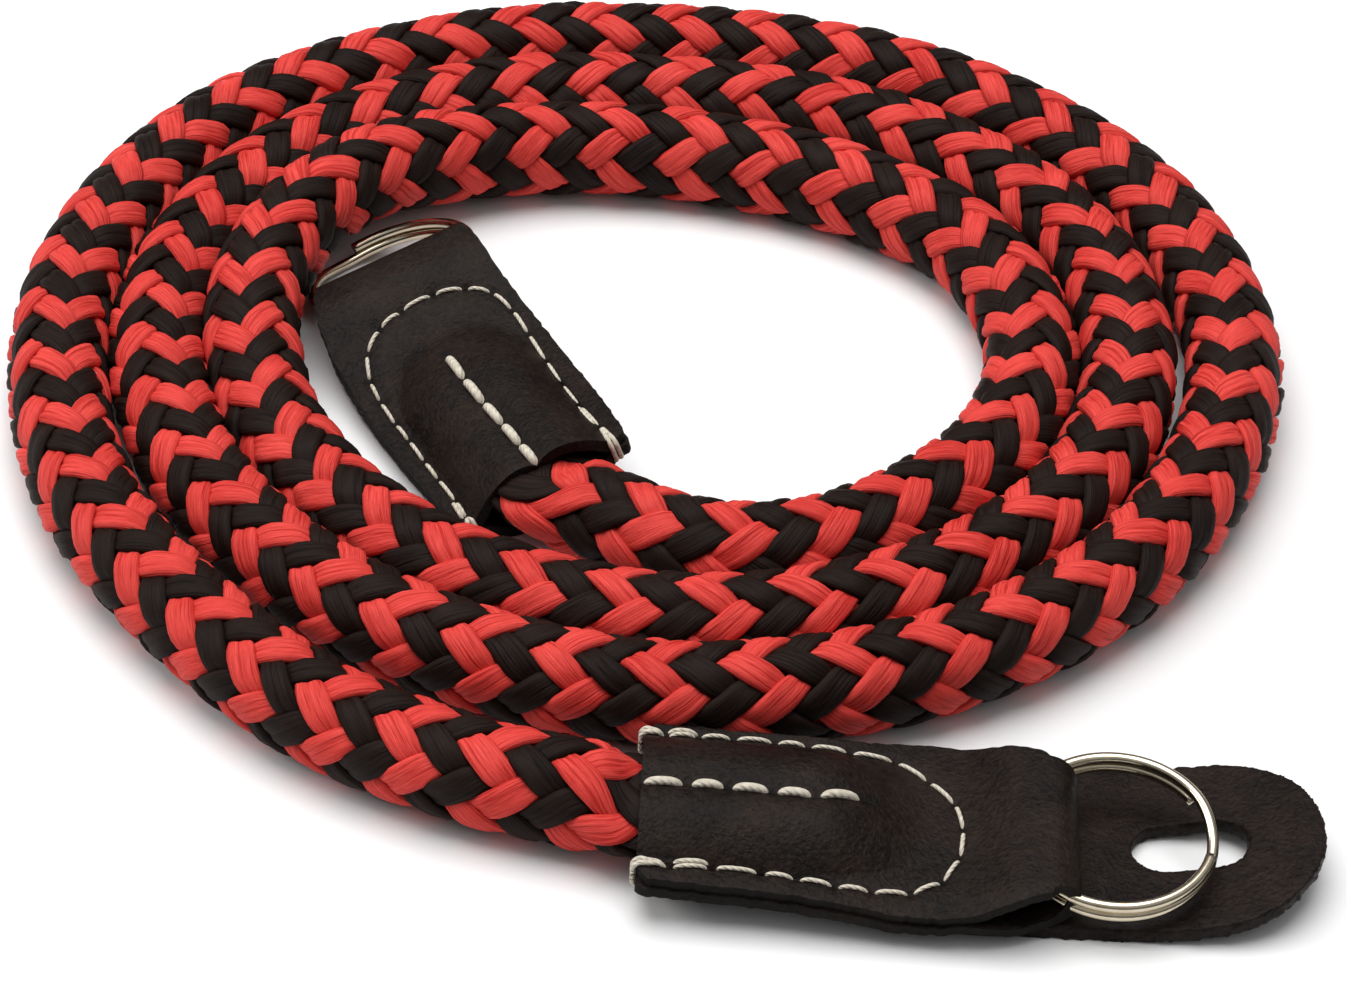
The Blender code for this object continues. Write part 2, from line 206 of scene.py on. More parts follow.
def skin(name, tubes, material):
    """One mesh of closed tubes, each an array of rings of points, with a UV map across and along."""
    points, faces, caps, across, along, start = [], [], [], [], [], 0
    for rings in tubes:
        count, sides = rings.shape[:2]
        spans = np.linalg.norm(np.diff(rings.mean(axis=1), axis=0), axis=1)
        reach = np.concatenate([[0.0], np.cumsum(spans)])
        k, m = np.meshgrid(np.arange(count - 1), np.arange(sides), indexing="ij")
        corners = [(k, m), (k, m + 1), (k + 1, m + 1), (k + 1, m)]
        first = list(range(start, start + sides))
        last = list(range(start + (count - 1) * sides, start + count * sides))
        ahead = rings[1:] - rings[:-1]
        around = np.roll(rings[:-1], -1, axis=1) - rings[:-1]
        outward = rings[:-1] - rings[:-1].mean(axis=1)[:, None, :]
        if (np.cross(around, ahead) * outward).sum() < 0:
            corners.reverse()
            last.reverse()
        else:
            first.reverse()
        faces.append(np.stack([start + a * sides + b % sides for a, b in corners], axis=-1).reshape(-1, 4))
        across.append(np.stack([b / sides for a, b in corners], axis=-1).ravel())
        along.append(np.stack([reach[a] for a, b in corners], axis=-1).ravel())
        points.append(rings.reshape(-1, 3))
        caps += [first, last]
        start += count * sides
    mesh = bpy.data.meshes.new(name)
    mesh.from_pydata((np.concatenate(points) * MM).tolist(), [], np.concatenate(faces).tolist() + caps)
    uv = np.zeros((len(mesh.loops), 2), np.float32)
    count = sum(len(part) for part in across)
    uv[:count, 0] = np.concatenate(across)
    uv[:count, 1] = np.concatenate(along)
    mesh.uv_layers.new(name="yarn").data.foreach_set("uv", uv.ravel())
    mesh.shade_smooth()
    mesh.materials.append(material)
    piece = bpy.data.objects.new(name, mesh)
    bpy.context.scene.collection.objects.link(piece)
    return piece


class Shade:
    """An output of a shader node. Arithmetic on it adds Math nodes, and add() adds any other."""

    def __init__(self, tree, out=None):
        self.tree = tree
        self.out = out

    def add(self, kind, settings=(), inputs=(), output=0):
        node = self.tree.nodes.new("ShaderNode" + kind)
        for name, value in dict(settings).items():
            if name == "stops":
                node.color_ramp.elements[0].position, node.color_ramp.elements[0].color = value[0]
                node.color_ramp.elements[1].position, node.color_ramp.elements[1].color = value[-1]
                for position, colour in value[1:-1]:
                    node.color_ramp.elements.new(position).color = colour
            else:
                setattr(node, name, value)
        for name, value in dict(inputs).items():
            if isinstance(value, Shade):
                self.tree.links.new(value.out, node.inputs[name])
            else:
                node.inputs[name].default_value = value
        return Shade(self.tree, node.outputs[output])

    def math(self, operation, other, reflected=False):
        first, second = (other, self) if reflected else (self, other)
        return self.add("Math", {"operation": operation}, {0: first, 1: second})

    def __add__(self, other):
        return self.math("ADD", other)

    def __radd__(self, other):
        return self.math("ADD", other, True)

    def __sub__(self, other):
        return self.math("SUBTRACT", other)

    def __rsub__(self, other):
        return self.math("SUBTRACT", other, True)

    def __mul__(self, other):
        return self.math("MULTIPLY", other)

    def __rmul__(self, other):
        return self.math("MULTIPLY", other, True)

    def mix(self, low, high):
        """A colour from low to high by this number."""
        return self.add("Mix", {"data_type": "RGBA"}, {0: self, 6: low, 7: high}, 2)


def finish(name, roughness, metallic=0.0):
    """A new material, its Principled shader's sockets and a Shade to build its nodes from."""
    material = bpy.data.materials.new(name)
    material.use_nodes = True
    shader = material.node_tree.nodes["Principled BSDF"]
    shader.inputs["Roughness"].default_value = roughness
    shader.inputs["Metallic"].default_value = metallic
    return material, shader.inputs, Shade(material.node_tree)


def link(shade, socket):
    shade.tree.links.new(shade.out, socket)


def yarn(name, dark, light, roughness, shine):
    """Spun polypropylene: fine fibres along each strand, painted shade in thin partings between them, little
    gloss.
    """
    material, sockets, make = finish(name, roughness)
    place = make.add("UVMap", {"uv_map": "yarn"})
    fine = make.add("Mapping", {}, {"Vector": place, "Scale": (70.0, 0.45, 1.0)})
    fibres = make.add("TexNoise", {}, {"Vector": fine, "Scale": 1.0, "Detail": 3.0, "Roughness": 0.65})
    coarse = make.add("Mapping", {}, {"Vector": place, "Scale": (24.0, 0.1, 1.0)})
    bundles = make.add("TexNoise", {}, {"Vector": coarse, "Scale": 1.0, "Detail": 2.0})
    parting_shade = bundles.add("ValToRGB", {"stops": ((0.34, (0, 0, 0, 1)), (0.41, (1, 1, 1, 1)))}, {0: bundles})
    patches = make.add("TexCoord", output=3)
    patches = make.add("TexNoise", {}, {"Vector": patches, "Scale": 150.0, "Detail": 2.0})
    tone = fibres * 0.5 + bundles * 0.3 + patches * 0.2
    tone = tone.add("ValToRGB", {"stops": ((0.36, (0, 0, 0, 1)), (0.62, (1, 1, 1, 1)))}, {0: tone})
    # Painted shade: the tone is halved in the partings between fibre bundles, where the bump also sinks a
    # groove.
    link((tone * (0.5 + 0.5 * parting_shade)).mix(dark, light), sockets["Base Color"])
    height = fibres * 0.7 + parting_shade * 0.5 + bundles * 0.8
    bump = make.add("Bump", {}, {"Height": height, "Strength": 0.55, "Distance": 0.0002})
    link(bump, sockets["Normal"])
    sockets["Specular IOR Level"].default_value = shine
    return material


DARK_RED = (0.40, 0.009, 0.006, 1)
LIGHT_RED = (0.76, 0.074, 0.06, 1)
DARK_BLACK = (0.0035, 0.0017, 0.0012, 1)
LIGHT_BLACK = (0.018, 0.0092, 0.0065, 1)
red_yarn = yarn("red polypropylene yarn", DARK_RED, LIGHT_RED, 0.6, 0.16)
black_yarn = yarn("black polypropylene yarn", DARK_BLACK, LIGHT_BLACK, 0.55, 0.09)

knots = list(in_end(FRONT_MOUTH, FRONT_TURN, FRONT_SEWN))
for turn in range(3):
    for row in COIL:
        if turn == 0 and row[0] == 0:
            knots.append(coil_point(*COIL_START, False))
        else:
            knots.append(coil_point(row[0], row[1 + turn], turn == 2))
knots += [np.array([x, y, ROPE_HEIGHT]) - ORIGIN for x, y in INNER_ROUTE]
knots += list(in_end(INNER_MOUTH, INNER_TURN, INNER_SEWN))[::-1]
path = smooth(knots)
lengths = np.concatenate([[0.0], np.cumsum(np.linalg.norm(np.diff(path, axis=0), axis=1))])
rope_length = lengths[-1]
stations = np.linspace(0.0, rope_length, int(rope_length / PATH_STEP))
path = np.stack([np.interp(stations, lengths, path[:, k]) for k in range(3)], axis=-1)
ahead = np.gradient(path, axis=0)
ahead /= np.linalg.norm(ahead, axis=1)[:, None]
sideways = np.stack([ahead[:, 1], -ahead[:, 0], 0 * ahead[:, 0]], axis=-1)
sideways /= np.linalg.norm(sideways, axis=1)[:, None]
upwards = np.cross(sideways, ahead)
from_mouth = np.minimum(stations - SEWN_DEPTH, rope_length - SEWN_DEPTH - stations)
flattened = 1 - ease((from_mouth - FLAT_TO) / (ROUND_FROM - FLAT_TO))
wide = 1 + (SEWN_HALF_WIDTH / ROPE_RADIUS - 1) * flattened
high = 1 + (SEWN_HALF_HEIGHT / ROPE_RADIUS - 1) * flattened


def along_rope(turned, distance, radius):
    """Points at an angle round the rope, a distance along it and a radius from its middle."""
    def at(values):
        return np.stack([np.interp(distance, stations, values[:, k]) for k in range(3)], axis=-1)

    x = radius * np.cos(turned) * np.interp(distance, stations, wide)
    y = radius * np.sin(turned) * np.interp(distance, stations, high)
    return at(path) + at(sideways) * x[..., None] + at(upwards) * y[..., None]


def strand(number, way, chance):
    """One strand's rings: way is 1 or -1 for the two directions that it winds in."""
    step = math.pi * 2 * ROPE_RADIUS / CARRIERS * PITCH_SHARE
    v = np.arange(crossings[0], crossings[-1], 1 / RINGS_PER_CROSSING)
    u = way * (v + 2 * number)
    wave = way * np.sin(math.pi / 2 * np.cos(math.pi / 2 * (u - 0.5)))
    slant = math.hypot(step, CROSSING)
    section = np.array(STRAND_SECTION)
    float_number = np.floor((u + 0.5) / 4).astype(int)
    float_number -= float_number.min()
    jitter = chance.normal(0.0, 1.0, (4, float_number.max() + 2))[:, float_number]
    half = STRAND_HALF_WIDTH * (1 - STRAND_TUCK * (1 - wave)) * (1 + WIDTH_VARIES * jitter[0])
    thick = STRAND_HALF_THICKNESS * (1 + THICKNESS_VARIES * jitter[1])
    aside = section[None, :, 0] * half[:, None]
    tilt = TILT_VARIES * jitter[2] * wave
    lift = section[None, :, 1] * thick[:, None] + aside * tilt[:, None]
    spot = np.interp(v, crossings, stations)
    turned = u + np.interp(spot, plait[0], plait[1])
    turned = 2 * math.pi * (turned[:, None] + aside * CROSSING / slant / step) / CARRIERS
    distance = spot[:, None] - way * aside * step / slant
    radius = STRAND_MIDDLE + STRAND_SWING * wave[:, None] + lift
    return along_rope(turned, np.clip(distance, 0.0, rope_length), radius)


plait = np.array(PLAIT).T
crossings = stations / CROSSING - np.interp(stations, plait[0], plait[2])
chance = np.random.default_rng(4)
braid = []
for way, leaning in ((1, "right"), (-1, "left")):
    for colour, material, odd in (("red", red_yarn, 0), ("black", black_yarn, 1)):
        tubes = [strand(number, way, chance) for number in range(odd, CARRIERS // 2, 2)]
        braid.append(skin(f"rope_{colour}_{leaning}", tubes, material))

turns = np.arange(12) * math.pi / 6
distance = np.arange(0.4, rope_length, CORE_STEP)
turned, distance = np.meshgrid(turns, distance)
core_rings = along_rope(turned, distance, CORE_RADIUS)
core = skin("rope_core", [core_rings], black_yarn)
for piece in (*braid, core):
    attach(piece, "root")
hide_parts("rope", "rope_end_front", "rope_end_inner")
rope_exit = in_end(FRONT_MOUTH, FRONT_TURN, (0.0, 0.0, 4.6)) * MM

# Leather ends
# Each end is one strip of dark leather, folded over the split ring and stitched through both
# layers round the flattened rope. Its edges are cut and left rough. A grid is laid out as the
# strip, bent to the fold, and given its thickness and rounded edges by modifiers.

LEATHER = 1.2
END_LENGTH = 39.2
FOLD_START = 28.6
FOLD_RISE = 6.0
FOLD_HALF_HEIGHT = 2.59
HUMP_REACH = 4.4
HUMP_FALLS_FROM = 15.5
HUMP_FALL = 11.5
HUMP_FULLNESS = 2.6
HUMP_BLEND = 0.6
HUMP_NARROWS = 0.4
GROOVE = 0.65
GROOVE_HALF_WIDTH = 1.5
GROOVE_ENDS = (15.0, 22.0)
SEAM_DIP = 0.16
SEAM_HALF_WIDTH = 0.7
HOLE_DIP = 0.3
HOLE_SPREAD = 0.3
EDGE_DROOP = 0.6
DROOPS_FROM = 8.05
DROOP_REACH = 3.5
CORNER = 1.4
LAYER_GAP = 0.03
OFF_FLOOR = 0.1
EDGE_ROUNDING = 0.12
RAGGEDNESS = 0.05
RAGGED_KNOTS = 70
STRIP_CELLS = (280, 72)
# Painted shade in the stitch holes: how wide at a hole, then how wide and how far beyond the last hole of the
# middle row
DARK_AT_HOLE = 0.16
DARK_AT_END = 0.4
END_HOLE_BEYOND = 0.45
# Distance from the mouth, height of the layers' middle, height of the rope's middle, roll
FRONT_STRIP = (
    (0.0, 4.6, 4.65, 0.0),
    (16.9, 3.9, 4.6, 0.0),
    (23.9, 3.2, 3.4, 0.0),
    (29.5, 3.6, 3.7, 0.0),
    (33.0, 4.35, 4.4, 0.03),
    (39.2, 4.75, 4.75, 0.06),
)
INNER_STRIP = (
    (0.0, 5.0, 5.1, -0.358),
    (10.0, 4.3, 4.8, -0.297),
    (20.0, 4.3, 4.6, -0.25),
    (26.0, 5.2, 5.2, -0.24),
    (31.0, 6.5, 6.5, -0.25),
    (39.2, 5.9, 5.9, -0.25),
)
# Half width of the left and right side at distances from the mouth: cut by eye, so they differ
FRONT_LEFT = ((0, 10.1), (20, 10.2), (24, 10.7), (27, 10.5), (30, 9.7), (34, 8.4), (38, 7.0), (39.2, 5.8))
FRONT_RIGHT = ((0, 10.1), (12, 10.4), (20, 11.0), (26, 11.5), (30, 11.3), (34, 10.7), (38, 9.1), (39.2, 8.0))
INNER_LEFT = ((0, 9.2), (5, 9.6), (10, 10.0), (20, 10.6), (30, 11.0), (33, 10.4), (38, 8.6), (39.2, 7.8))
INNER_RIGHT = ((0, 9.3), (8, 9.8), (15, 9.7), (20, 9.6), (25, 9.2), (30, 8.5), (38, 8.2), (39.2, 7.7))
# Stitch holes of the seam round the rope, from one side of the mouth to the other, and of the
# thick stitches along the middle
FRONT_HOLES = (
    (2.9, -8.5), (6.6, -8.2), (11.0, -8.3), (14.1, -8.6), (17.5, -9.0), (20.7, -9.1), (24.2, -8.9),
    (27.0, -7.3), (28.6, -4.2), (28.9, -0.8), (28.2, 2.7), (25.9, 5.9), (22.9, 8.3), (18.7, 8.8),
    (14.9, 9.0), (11.9, 9.1), (8.1, 9.1), (4.9, 9.0), (2.0, 8.8),
)
FRONT_MIDDLE_HOLES = ((-0.2, -0.9), (4.1, -0.8), (7.7, -0.9), (11.7, -1.1), (15.5, -1.3), (19.8, -0.4))
INNER_HOLES = (
    (3.2, -7.7), (7.6, -7.5), (11.9, -7.5), (16.2, -7.7), (21.0, -7.9), (24.7, -7.8), (27.8, -6.9),
    (29.5, -4.6), (30.3, -1.3), (30.1, 2.4), (29.4, 5.2), (27.3, 7.5), (24.0, 8.6), (21.1, 8.7),
    (17.5, 8.6), (14.6, 8.4), (11.0, 8.3), (7.9, 8.2), (4.0, 8.1), (1.2, 8.2),
)
INNER_MIDDLE_HOLES = ((-0.2, 0.0), (3.4, 0.2), (7.2, 0.4), (11.2, 0.7), (15.7, 0.95), (20.5, 0.95))


def strip_row(rows, along):
    """The columns of a table of rows at distances from the mouth, with its corners rounded off."""
    columns = np.array(rows, float).T
    spread = (-2.0, -1.0, 0.0, 1.0, 2.0)
    return [sum(np.interp(along + step, columns[0], column) for step in spread) / 5 for column in columns[1:]]


def near(line, along, across):
    """Distance of points from a line of holes."""
    line = np.array(line)
    found = np.full(np.shape(along), 1e9)
    for a, b in zip(line[:-1], line[1:]):
        span = b - a
        share = ((along - a[0]) * span[0] + (across - a[1]) * span[1]) / (span @ span)
        share = np.clip(share, 0.0, 1.0)
        gone = np.hypot(along - a[0] - span[0] * share, across - a[1] - span[1] * share)
        found = np.minimum(found, gone)
    return found


def layer_lift(end, along, across, layer):
    """How far a layer's middle stands off the middle of the strip: layer is 1 above, -1 below."""
    middle, core, _ = strip_row(end["strip"], along)
    flat = LEATHER / 2 + (FOLD_HALF_HEIGHT - LEATHER) * ease((along - FOLD_START) / FOLD_RISE)
    past = np.clip((along - HUMP_FALLS_FROM) / HUMP_FALL, 0.0, 1.0)
    reach = (HUMP_REACH - LEATHER) * (1 - ease(past)) + LEATHER / 2
    hump = end["hump"] * (1 - HUMP_NARROWS * past**2)
    arch = (layer * (core - middle) + reach) * (1 - np.abs(across / hump) ** HUMP_FULLNESS)
    valley = GROOVE * np.exp(-((near(end["middle"], along, across) / GROOVE_HALF_WIDTH) ** 2))
    arch = arch - valley * (1 - ease((along - GROOVE_ENDS[0]) / (GROOVE_ENDS[1] - GROOVE_ENDS[0])))
    share = np.clip(0.5 + 0.5 * (arch - flat) / HUMP_BLEND, 0.0, 1.0)
    lift = flat + (arch - flat) * share + HUMP_BLEND * share * (1 - share)
    seam = np.exp(-((near(end["holes"], along, across) / SEAM_HALF_WIDTH) ** 2))
    pits = 0.0 * along
    for hole in (*end["holes"], *end["middle"]):
        pits = pits + np.exp(-((along - hole[0]) ** 2 + (across - hole[1]) ** 2) / HOLE_SPREAD)
    return layer * (lift - SEAM_DIP * seam - HOLE_DIP * np.minimum(pits, 1.0))


def on_strip(end, along, across, lift):
    """Points of a strip, placed beside the coil, from their distance off its middle."""
    middle, _, roll = strip_row(end["strip"], along)
    lift = lift - EDGE_DROOP * np.clip((-across - DROOPS_FROM) / DROOP_REACH, 0, 1) ** 2
    sideways = across * np.cos(roll) - lift * np.sin(roll)
    height = middle + across * np.sin(roll) + lift * np.cos(roll)
    return in_end(end["mouth"], end["turn"], np.stack([along + 0 * across, sideways, height], axis=-1))


def half_width(end, along, left):
    """Half width of one side of a strip, less its rounded corner at the mouth."""
    corner = CORNER * np.clip(1 - along / CORNER, 0.0, 1.0) ** 2
    return np.where(left, strip_row(end["left"], along)[0], strip_row(end["right"], along)[0]) - corner


def leather(name, base, shine, roughness, grain):
    """Fine-grained leather: a close pebble, faint creases, rubbed places, painted shade in and round the
    stitch holes.
    """
    material, sockets, make = finish(name, roughness)
    place = make.add("TexCoord", output=3)
    cells = {"Vector": place, "Scale": 2300.0, "Smoothness": 0.5}
    cells = make.add("TexVoronoi", {"feature": "SMOOTH_F1"}, cells)
    pores = make.add("TexNoise", {}, {"Vector": place, "Scale": 1700.0, "Detail": 5.0, "Roughness": 0.7})
    clouds = make.add("TexNoise", {}, {"Vector": place, "Scale": 150.0, "Detail": 4.0, "Roughness": 0.6})
    creases = make.add("TexNoise", {}, {"Vector": place, "Scale": 420.0, "Detail": 2.0, "Distortion": 1.2})
    pulled = make.add("Attribute", {"attribute_name": "pulled"}, {}, 2)
    crack = {"stops": ((0.46, (0, 0, 0, 1)), (0.5, (1, 1, 1, 1)), (0.54, (0, 0, 0, 1)))}
    crack = creases.add("ValToRGB", crack, {0: creases})
    tone = clouds * 0.45 + pores * 0.5 + crack * 0.05
    rubbed = tone.add("ValToRGB", {"stops": ((0.4, (0, 0, 0, 1)), (0.62, (1, 1, 1, 1)))}, {0: tone})
    colour = rubbed.mix(base, shine)
    # Painted shade: the leather is darkened almost to black in and round its stitch holes.
    link(pulled.mix(colour, (0.001, 0.001, 0.001, 1)), sockets["Base Color"])
    link(roughness + 0.15 * (pores - 0.5), sockets["Roughness"])
    height = cells * 0.4 + pores * 0.8 + creases * 0.6 + crack * 0.15
    bump = make.add("Bump", {}, {"Height": height, "Strength": grain, "Distance": 0.00017})
    link(bump, sockets["Normal"])
    sockets["Specular IOR Level"].default_value = 0.12
    return material


hide = leather("dark brown leather", (0.0036, 0.002, 0.0014, 1), (0.02, 0.012, 0.0086, 1), 0.48, 1.0)
cut_hide = leather("cut leather edge", (0.003, 0.0022, 0.0018, 1), (0.012, 0.0085, 0.0068, 1), 0.75, 1.0)


def leather_end(name, end):
    """One leather end: a flat grid bent into the strip's shape, then thickened and rounded."""
    bpy.ops.object.select_all(action="DESELECT")
    bpy.ops.mesh.primitive_grid_add(x_subdivisions=STRIP_CELLS[0], y_subdivisions=STRIP_CELLS[1], size=2.0)
    piece = bpy.context.object
    piece.name = name
    flat = np.empty(len(piece.data.vertices) * 3)
    piece.data.vertices.foreach_get("co", flat)
    share, side = (flat.reshape(-1, 3)[:, 0] + 1) / 2, flat.reshape(-1, 3)[:, 1]
    bend = FOLD_HALF_HEIGHT - LEATHER / 2
    straight = END_LENGTH - FOLD_HALF_HEIGHT
    run = share * (2 * straight + math.pi * bend)
    angle = np.clip((run - straight) / bend, 0.0, math.pi)
    upper = run < straight
    along = np.where(upper, run, 2 * straight + math.pi * bend - run)
    along = np.where((angle > 0) & (angle < math.pi), straight + bend * np.sin(angle), along)
    chance = np.random.default_rng(end["seed"])
    knots = np.linspace(0.0, END_LENGTH, RAGGED_KNOTS)
    ragged = [np.interp(along, knots, chance.normal(0.0, RAGGEDNESS, len(knots))) for _ in range(2)]
    wide = half_width(end, along + LEATHER / 2 * (angle > 0), side > 0)
    across = side * (wide + np.where(side > 0, *ragged))
    bent = (angle > 0) & (angle < math.pi)
    lift = np.where(upper, layer_lift(end, along, across, 1), layer_lift(end, along, across, -1))
    lift = np.where(bent, bend * np.cos(angle), lift)
    placed = on_strip(end, along, across, lift)
    placed[:, 2] = np.maximum(placed[:, 2], LEATHER / 2 + OFF_FLOOR)
    piece.data.vertices.foreach_set("co", (placed * MM).ravel())
    # Painted shade: a dark spot at the stitch holes and one just past the middle row's last hole, none on the
    # fold.
    pulled = np.zeros(len(along))
    last = end["middle"][-1]
    spots = [(*hole, DARK_AT_HOLE) for hole in (*end["holes"], *end["middle"][1:])]
    for x, y, spread in (*spots, (last[0] + END_HOLE_BEYOND, last[1], DARK_AT_END)):
        pulled = np.maximum(pulled, np.exp(-((along - x) ** 2 + (across - y) ** 2) / spread))
    piece.data.attributes.new("pulled", "FLOAT", "POINT").data.foreach_set("value", pulled * ~bent)
    piece.data.materials.append(hide)
    piece.data.materials.append(cut_hide)
    bpy.ops.object.mode_set(mode="EDIT")
    bpy.ops.mesh.select_all(action="SELECT")
    bpy.ops.mesh.normals_make_consistent(inside=False)
    bpy.ops.object.mode_set(mode="OBJECT")
    wall = piece.modifiers.new("thickness", "SOLIDIFY")
    wall.thickness = (LEATHER - LAYER_GAP) * MM
    wall.offset = 0.0
    wall.material_offset_rim = 1
    rounding = piece.modifiers.new("edges", "BEVEL")
    rounding.width = EDGE_ROUNDING * MM
    rounding.segments = 3
    rounding.angle_limit = math.radians(50)
    bpy.ops.object.modifier_apply(modifier="thickness")
    bpy.ops.object.modifier_apply(modifier="edges")
    bpy.ops.object.shade_smooth()
    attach(piece, "root")
    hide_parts(end["node"])


front_end = {
    "mouth": FRONT_MOUTH,
    "turn": FRONT_TURN,
    "strip": FRONT_STRIP,
    "holes": FRONT_HOLES,
    "middle": FRONT_MIDDLE_HOLES,
    "left": FRONT_LEFT,
    "right": FRONT_RIGHT,
    "hump": 8.5,
    "thick": (0.42, 0.6),
    "node": "leather_end_front",
    "seed": 3,
}
inner_end = {
    "mouth": INNER_MOUTH,
    "turn": INNER_TURN,
    "strip": INNER_STRIP,
    "holes": INNER_HOLES,
    "middle": INNER_MIDDLE_HOLES,
    "left": INNER_LEFT,
    "right": INNER_RIGHT,
    "hump": 7.8,
    "thick": (0.47, 0.4),
    "node": "leather_end_inner",
    "seed": 5,
}
leather_end("leather_front", front_end)
leather_end("leather_inner", inner_end)

# Stitches
# Waxed off-white thread: a fine seam round the rope, doubled at the mouth and carried over the
# edge there, and a row of thick stitches along the middle that pins the rope inside.

THREAD_RADIUS = 0.21
thread, sockets, make = finish("off-white waxed thread", 0.6)
place = make.add("UVMap", {"uv_map": "yarn"})
twist = make.add("Mapping", {}, {"Vector": place, "Scale": (3.0, 1.1, 1.0)})
plies = {"Vector": twist, "Scale": 0.9, "Distortion": 1.5}
plies = make.add("TexWave", {"bands_direction": "DIAGONAL"}, plies)
speckle = make.add("TexNoise", {}, {"Vector": make.add("TexCoord", output=3), "Scale": 1800.0, "Detail": 3.0})
link(speckle.mix((0.36, 0.31, 0.23, 1), (0.78, 0.72, 0.61, 1)), sockets["Base Color"])
bump = make.add("Bump", {}, {"Height": plies + speckle, "Strength": 0.5, "Distance": 0.00012})
link(bump, sockets["Normal"])


def thread_tube(line, radius, flatness=1.0, ends=0.72):
    """Rings of a stitch along a line of points, thinner where it goes into its holes."""
    line = smooth(list(line), 6)
    ahead = np.gradient(line, axis=0)
    ahead /= np.linalg.norm(ahead, axis=1)[:, None]
    side = np.cross(ahead, [0.0, 0.0, 1.0])
    side /= np.maximum(np.linalg.norm(side, axis=1), 1e-6)[:, None]
    up = np.cross(side, ahead)
    share = np.linspace(0.0, 1.0, len(line))
    size = radius * (ends + (1 - ends) * np.sin(math.pi * share) ** 0.5)
    turns = np.arange(10) * math.pi / 5
    x = np.cos(turns)[None, :, None] * side[:, None, :]
    y = np.sin(turns)[None, :, None] * up[:, None, :] * flatness
    return line[:, None, :] + size[:, None, None] * (x + y)


def surface(end, along, across, lift=0.0, layer=1):
    """A point on a leather end's upper or lower face."""
    along, across = np.asarray(along, float), np.asarray(across, float)
    stand = layer_lift(end, along, across, layer) + layer * (LEATHER / 2 + lift)
    return on_strip(end, along, across, stand)


def stitch(end, first, last, radius, gap, bow=1.0):
    """One stitch between two holes: it dips into both and bows up between them."""
    first, last = np.array(first), np.array(last)
    span = last - first
    reach = np.linalg.norm(span)
    share = np.array([0.0, 0.12, 0.3, 0.5, 0.7, 0.88, 1.0])
    share = gap / reach + share * (1 - 2 * gap / reach)
    rise = radius * bow * np.array([-1.3, 0.15, 0.62, 0.72, 0.62, 0.15, -1.3])
    return thread_tube(surface(end, first[0] + span[0] * share, first[1] + span[1] * share, rise), radius)


def mouth_stitch(end, hole, radius, aside):
    """A stitch from the first hole over the mouth's edge to the lower layer."""
    along, across = hole
    points = [surface(end, along, across, -radius)]
    points += [surface(end, along * s, across + aside * (1 - s), radius * 0.7) for s in (0.75, 0.4, 0.1)]
    front = -radius * 1.1
    for lift in (LEATHER * 0.7, 0.0, -LEATHER * 0.7):
        points.append(on_strip(end, np.array(front), np.array(across + aside), np.array(lift)))
    points += [surface(end, along * s, across + aside * (1 - s), radius * 0.6, -1) for s in (0.1, 0.5, 1.0)]
    return thread_tube(points, radius, ends=0.9)


for name, end in (("front", front_end), ("inner", inner_end)):
    tubes = []
    holes = end["holes"]
    for k in range(len(holes) - 1):
        tubes.append(stitch(end, holes[k], holes[k + 1], THREAD_RADIUS, 0.3))
    for first, last in ((holes[0], holes[1]), (holes[-1], holes[-2])):
        beside = [(first[0] - 0.2, first[1] + 0.38), (last[0] + 0.3, last[1] + 0.3)]
        tubes.append(stitch(end, *beside, THREAD_RADIUS * 1.1, 0.3, 1.5))
    for hole in (holes[0], holes[-1]):
        for aside in (-0.25, 0.3):
            tubes.append(mouth_stitch(end, (hole[0] - 0.3, hole[1]), THREAD_RADIUS * 1.15, aside))
    seam = skin("seam_" + name, tubes, thread)
    rows = end["middle"]
    radius, gap = end["thick"]
    tubes = [stitch(end, rows[k], rows[k + 1], radius, gap, 0.75) for k in range(len(rows) - 1)]
    middle = skin("middle_stitches_" + name, tubes, thread)
    for piece in (seam, middle):
        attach(piece, "root")

# Split rings
# Nickel-plated spring wire wound in two flat turns that cross over once, with square cut ends.
# Each ring lies in its leather end's fold.

WIRE = 1.06
RING_OUTER = 9.25
COIL_STEP = 1.12
COIL_CROSSING = 0.14
RING_TURNS = 2 - COIL_CROSSING
RING_STEPS = 220
RING_RADIUS = RING_OUTER - WIRE / 2
nickel, sockets, make = finish("bright nickel plate", 0.16, 1.0)
scuffs = make.add("TexNoise", {}, {"Vector": make.add("TexCoord", output=3), "Scale": 700.0, "Detail": 5.0})
link(0.1 + 0.16 * scuffs, sockets["Roughness"])
link(scuffs.mix((0.44, 0.375, 0.27, 1), (0.70, 0.615, 0.475, 1)), sockets["Base Color"])


